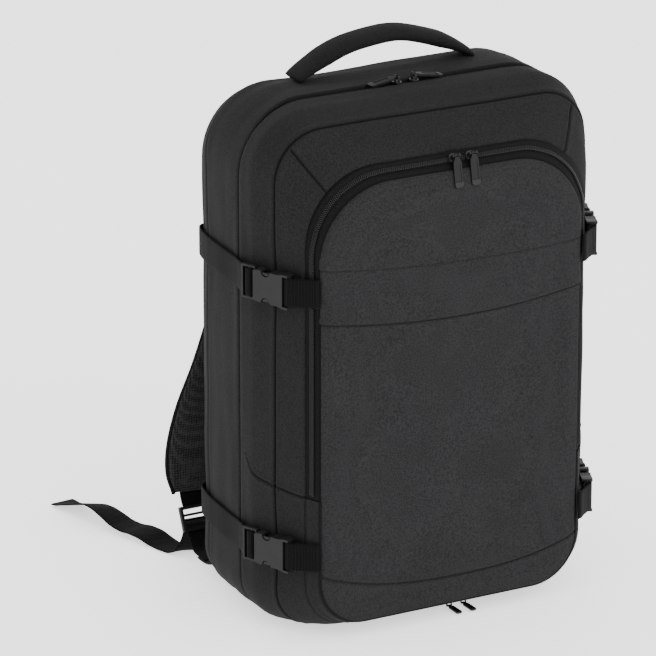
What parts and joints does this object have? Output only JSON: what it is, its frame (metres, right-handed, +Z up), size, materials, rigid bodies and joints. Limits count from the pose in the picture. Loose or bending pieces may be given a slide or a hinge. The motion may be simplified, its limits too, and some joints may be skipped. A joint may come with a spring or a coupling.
{
  "type": "travel backpack",
  "caption": "Cabin-size travel backpack with a bevelled zipped front pocket, side compression straps with side-release buckles, top carry handle and padded shoulder straps.",
  "frame": {"origin": "on the underside of the flat base panel, midway across it and below the main zip, where the bag stands", "axes": "+Z up, the front pocket faces -Y, the shoulder straps are on +Y, the wearer's right strap is on +X when the bag is seen from the front"},
  "size_m": [0.3866, 0.4017, 0.4925],
  "materials": {
    "shell_fabric": "fine plain-weave polyester, matt",
    "air_mesh": "open air mesh over foam, matt",
    "webbing": "ribbed nylon webbing, slight sheen",
    "zip_tape": "coated zip tape, satin",
    "buckle_plastic": "fine-grained acetal, semi-matt",
    "slider_metal": "black-painted die cast",
    "pull_plastic": "moulded soft pull, satin",
    "stiffener": "plain sheet",
    "lining": "thin plain-weave lining"
  },
  "bodies": {
    "bag": {"rear_shell": "shell_fabric", "front_shell": "shell_fabric", "front_panel": "shell_fabric", "bottom_hinge_gusset": "shell_fabric", "lower_front_gusset": "shell_fabric", "base_panel": "shell_fabric", "carry_handle": "shell_fabric", "corner_tab_left": "shell_fabric", "corner_tab_right": "shell_fabric", "back_panel": "air_mesh", "lumbar_pad": "air_mesh", "back_pad_left": "air_mesh", "back_pad_right": "air_mesh", "shoulder_strap_left": "air_mesh", "shoulder_strap_right": "air_mesh", "strap_yoke_left": "webbing", "strap_yoke_right": "webbing", "webbing_tail_left": "webbing", "webbing_tail_right": "webbing", "lower_webbing_left": "webbing", "lower_webbing_right": "webbing", "upper_side_strap_left": "webbing", "upper_side_strap_right": "webbing", "upper_strap_stub_left": "webbing", "upper_strap_stub_right": "webbing", "lower_side_strap_left": "webbing", "lower_side_strap_right": "webbing", "lower_strap_stub_left": "webbing", "lower_strap_stub_right": "webbing", "main_zip_tape": "zip_tape", "pocket_zip_tape": "zip_tape", "base_zip_tape": "zip_tape", "strap_adjuster_left": "buckle_plastic", "strap_adjuster_right": "buckle_plastic", "upper_buckle_female_left": "buckle_plastic", "upper_buckle_female_right": "buckle_plastic", "lower_buckle_female_left": "buckle_plastic", "lower_buckle_female_right": "buckle_plastic", "base_board": "stiffener", "back_board": "stiffener", "pocket_wall": "lining", "laptop_divider": "lining"},
    "upper_buckle_male_left": {"upper_buckle_male_left": "buckle_plastic"},
    "upper_buckle_male_right": {"upper_buckle_male_right": "buckle_plastic"},
    "lower_buckle_male_left": {"lower_buckle_male_left": "buckle_plastic"},
    "lower_buckle_male_right": {"lower_buckle_male_right": "buckle_plastic"},
    "pocket_left_slider": {"pocket_left_slider": "slider_metal"},
    "pocket_right_slider": {"pocket_right_slider": "slider_metal"},
    "main_left_slider": {"main_left_slider": "slider_metal"},
    "main_right_slider": {"main_right_slider": "slider_metal"},
    "base_left_slider": {"base_left_slider": "slider_metal"},
    "base_right_slider": {"base_right_slider": "slider_metal"},
    "pocket_left_pull": {"pocket_left_pull": "pull_plastic"},
    "pocket_right_pull": {"pocket_right_pull": "pull_plastic"},
    "main_left_pull": {"main_left_pull": "pull_plastic"},
    "main_right_pull": {"main_right_pull": "pull_plastic"},
    "base_left_pull": {"base_left_pull": "pull_plastic"},
    "base_right_pull": {"base_right_pull": "pull_plastic"}
  },
  "joints": [
    {"name": "pocket_left_slide", "type": "slide", "parent": "bag", "child": "pocket_left_slider", "axis": [-1, 0, 0], "range_m": [0, 0.05]},
    {"name": "pocket_right_slide", "type": "slide", "parent": "bag", "child": "pocket_right_slider", "axis": [1, 0, 0], "range_m": [0, 0.035]},
    {"name": "main_left_slide", "type": "slide", "parent": "bag", "child": "main_left_slider", "axis": [-1, 0, 0], "range_m": [0, 0.06]},
    {"name": "main_right_slide", "type": "slide", "parent": "bag", "child": "main_right_slider", "axis": [1, 0, 0], "range_m": [0, 0.06]},
    {"name": "base_left_slide", "type": "slide", "parent": "bag", "child": "base_left_slider", "axis": [-1, 0, 0], "range_m": [0, 0.055]},
    {"name": "base_right_slide", "type": "slide", "parent": "bag", "child": "base_right_slider", "axis": [1, 0, 0], "range_m": [0, 0.055]},
    {"name": "pocket_left_pull_hinge", "type": "hinge", "parent": "pocket_left_slider", "child": "pocket_left_pull", "pos_m": [0.003, -0.08878, 0.41623], "axis": [-1, 0, 0], "range_deg": [0, 150]},
    {"name": "pocket_right_pull_hinge", "type": "hinge", "parent": "pocket_right_slider", "child": "pocket_right_pull", "pos_m": [0.019, -0.08878, 0.41623], "axis": [-1, 0, 0], "range_deg": [0, 150]},
    {"name": "main_left_pull_hinge", "type": "hinge", "parent": "main_left_slider", "child": "main_left_pull", "pos_m": [-0.008, -0.006, 0.4633], "axis": [0, 1, 0], "range_deg": [0, 100]},
    {"name": "main_right_pull_hinge", "type": "hinge", "parent": "main_right_slider", "child": "main_right_pull", "pos_m": [0.008, -0.006, 0.4633], "axis": [0, -1, 0], "range_deg": [0, 100]},
    {"name": "base_left_pull_hinge", "type": "hinge", "parent": "base_left_slider", "child": "base_left_pull", "pos_m": [0.012, -0.06731, 0.00171], "axis": [1, 0, 0], "range_deg": [-8, 110]},
    {"name": "base_right_pull_hinge", "type": "hinge", "parent": "base_right_slider", "child": "base_right_pull", "pos_m": [0.026, -0.06731, 0.00171], "axis": [1, 0, 0], "range_deg": [-8, 110]},
    {"name": "upper_buckle_release_left", "type": "slide", "parent": "bag", "child": "upper_buckle_male_left", "axis": [-0.4068, 0.9135, 0], "range_m": [0, 0.022], "deforming": ["upper_side_strap_left"]},
    {"name": "upper_buckle_release_right", "type": "slide", "parent": "bag", "child": "upper_buckle_male_right", "axis": [0.4068, 0.9135, 0], "range_m": [0, 0.022], "deforming": ["upper_side_strap_right"]},
    {"name": "lower_buckle_release_left", "type": "slide", "parent": "bag", "child": "lower_buckle_male_left", "axis": [-0.4068, 0.9135, 0], "range_m": [0, 0.022], "deforming": ["lower_side_strap_left"]},
    {"name": "lower_buckle_release_right", "type": "slide", "parent": "bag", "child": "lower_buckle_male_right", "axis": [0.4068, 0.9135, 0], "range_m": [0, 0.022], "deforming": ["lower_side_strap_right"]}
  ]
}
